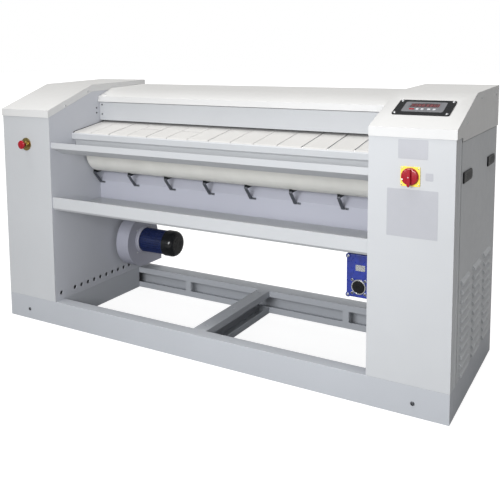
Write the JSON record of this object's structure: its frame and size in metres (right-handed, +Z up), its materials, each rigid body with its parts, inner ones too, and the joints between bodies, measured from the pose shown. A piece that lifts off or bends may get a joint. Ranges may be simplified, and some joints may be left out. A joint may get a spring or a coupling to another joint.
{
  "type": "flatwork ironer",
  "caption": "Roll ironer for flat linen: padded roll against a heated chest between two columns, feed bands on top, return tray below.",
  "frame": {"origin": "middle of the outer box on the floor", "axes": "+X along the roll to the operator's right, +Y from the front to the back, +Z up"},
  "size_m": [2.148, 0.7552, 1.13],
  "materials": {
    "paint": "light grey powder coat",
    "inner_paint": "light grey powder coat in shade",
    "lid_paint": "near-white powder coat",
    "steel": "bright steel",
    "dark_steel": "oiled dark steel",
    "cast_aluminium": "as cast",
    "black_plastic": "fine texture",
    "blue_enamel": "gloss enamel",
    "motor_blue": "satin enamel",
    "roll_felt": "woven press cloth",
    "band_cloth": "woven band",
    "stop_red": "gloss",
    "safety_yellow": "satin",
    "grey_plastic": "satin",
    "display_red": "tinted window"
  },
  "bodies": {
    "frame": {"base_front_rail": "paint", "base_rear_rail": "paint", "base_cross_beam": "paint", "left_base_pan": "paint", "right_base_pan": "paint", "stop_button_collar": "safety_yellow", "switch_plate": "safety_yellow", "switch_body": "black_plastic", "control_fascia": "black_plastic", "display_window": "display_red", "cable_gland": "black_plastic", "hood": "lid_paint", "rear_cover": "paint", "front_beam": "paint", "nose_panel": "paint", "tray": "paint", "feed_bands": "band_cloth", "feed_bed": "steel", "left_roll_bearing": "dark_steel", "right_roll_bearing": "dark_steel", "heated_chest": "cast_aluminium", "heating_elements": "dark_steel", "stripper_comb": "dark_steel", "guide_plate": "inner_paint", "worm_gearbox": "blue_enamel", "drive_motor": "motor_blue", "drive_chain": "dark_steel", "blower_casing": "cast_aluminium", "blower_motor": "motor_blue", "blower_cowl": "black_plastic", "left_frame_plate": "inner_paint", "left_front_panel": "paint", "left_back_panel": "paint", "left_lid": "lid_paint", "right_frame_plate": "inner_paint", "right_front_panel": "paint", "right_back_panel": "paint", "right_lid": "lid_paint"},
    "roll": {"roll_core": "steel", "roll_cover": "roll_felt", "roll_sprocket": "dark_steel"},
    "gearbox_shaft": {"gearbox_sprocket": "dark_steel"},
    "band_drive": {"band_drive_roller": "steel", "band_sprocket": "dark_steel"},
    "nose": {"nose_roller": "steel"},
    "impeller": {"blower_impeller": "steel"},
    "switch": {"switch_knob": "stop_red"},
    "stop_head": {"stop_button": "stop_red"},
    "guard": {"finger_guard": "paint"},
    "left_door": {"left_side_door": "paint"},
    "right_door": {"right_side_door": "paint"},
    "stop_key": {"stop_key": "stop_red"},
    "menu_key": {"menu_key": "grey_plastic"},
    "slower_key": {"slower_key": "grey_plastic"},
    "faster_key": {"faster_key": "grey_plastic"},
    "start_key": {"start_key": "grey_plastic"},
    "left_front_latch": {"left_front_latch": "black_plastic"},
    "left_rear_latch": {"left_rear_latch": "black_plastic"},
    "right_front_latch": {"right_front_latch": "black_plastic"},
    "right_rear_latch": {"right_rear_latch": "black_plastic"}
  },
  "joints": [
    {"name": "roll_spin", "type": "hinge", "parent": "frame", "child": "roll", "pos_m": [0, -0.01535, 0.793], "axis": [-1, 0, 0], "continuous": true},
    {"name": "gearbox_shaft_spin", "type": "hinge", "parent": "frame", "child": "gearbox_shaft", "pos_m": [0, -0.02535, 0.41], "axis": [-1, 0, 0], "continuous": true},
    {"name": "band_drive_spin", "type": "hinge", "parent": "frame", "child": "band_drive", "pos_m": [0, 0.05465, 0.925], "axis": [-1, 0, 0], "continuous": true},
    {"name": "nose_roller_spin", "type": "hinge", "parent": "frame", "child": "nose", "pos_m": [0, -0.17735, 0.891], "axis": [-1, 0, 0], "continuous": true},
    {"name": "impeller_spin", "type": "hinge", "parent": "frame", "child": "impeller", "pos_m": [-0.705, 0.20465, 0.297], "axis": [1, 0, 0], "continuous": true},
    {"name": "main_switch_turn", "type": "hinge", "parent": "frame", "child": "switch", "pos_m": [0.915, -0.34035, 0.848], "axis": [0, 1, 0], "range_deg": [0, 90]},
    {"name": "stop_button_press", "type": "slide", "parent": "frame", "child": "stop_head", "axis": [0, 1, 0], "range_m": [0, 0.005]},
    {"name": "stop_key_press", "type": "slide", "parent": "frame", "child": "stop_key", "axis": [0, 0.3397, -0.9405], "range_m": [0, 0.0015], "stiffness_N_per_m": 500},
    {"name": "menu_key_press", "type": "slide", "parent": "frame", "child": "menu_key", "axis": [0, 0.3397, -0.9405], "range_m": [0, 0.0015], "stiffness_N_per_m": 500},
    {"name": "slower_key_press", "type": "slide", "parent": "frame", "child": "slower_key", "axis": [0, 0.3397, -0.9405], "range_m": [0, 0.0015], "stiffness_N_per_m": 500},
    {"name": "faster_key_press", "type": "slide", "parent": "frame", "child": "faster_key", "axis": [0, 0.3397, -0.9405], "range_m": [0, 0.0015], "stiffness_N_per_m": 500},
    {"name": "start_key_press", "type": "slide", "parent": "frame", "child": "start_key", "axis": [0, 0.3397, -0.9405], "range_m": [0, 0.0015], "stiffness_N_per_m": 500},
    {"name": "finger_guard_swing", "type": "hinge", "parent": "frame", "child": "guard", "pos_m": [0, 0.02265, 1.015], "axis": [1, 0, 0], "range_deg": [0, 8], "stiffness_Nm_per_rad": 3, "springref_deg": -20.05},
    {"name": "left_door_tilt", "type": "hinge", "parent": "frame", "child": "left_door", "pos_m": [-1.065, -0.34035, 0.1113], "axis": [0, -1, 0], "range_deg": [0, 20]},
    {"name": "left_front_latch_pull", "type": "hinge", "parent": "left_door", "child": "left_front_latch", "pos_m": [-1.0678, -0.23585, 0.838], "axis": [0, 0, 1], "range_deg": [0, 35]},
    {"name": "left_rear_latch_pull", "type": "hinge", "parent": "left_door", "child": "left_rear_latch", "pos_m": [-1.0678, 0.17615, 0.838], "axis": [0, 0, 1], "range_deg": [0, 35]},
    {"name": "right_door_tilt", "type": "hinge", "parent": "frame", "child": "right_door", "pos_m": [1.065, -0.34035, 0.1113], "axis": [0, 1, 0], "range_deg": [0, 20]},
    {"name": "right_front_latch_pull", "type": "hinge", "parent": "right_door", "child": "right_front_latch", "pos_m": [1.0678, -0.23585, 0.838], "axis": [0, 0, -1], "range_deg": [0, 35]},
    {"name": "right_rear_latch_pull", "type": "hinge", "parent": "right_door", "child": "right_rear_latch", "pos_m": [1.0678, 0.17615, 0.838], "axis": [0, 0, -1], "range_deg": [0, 35]}
  ],
  "couplings": [
    {"joint": "gearbox_shaft_spin", "follows": "roll_spin", "ratio": 4.7059},
    {"joint": "band_drive_spin", "follows": "roll_spin", "ratio": 7.2727},
    {"joint": "nose_roller_spin", "follows": "roll_spin", "ratio": 9.391}
  ]
}
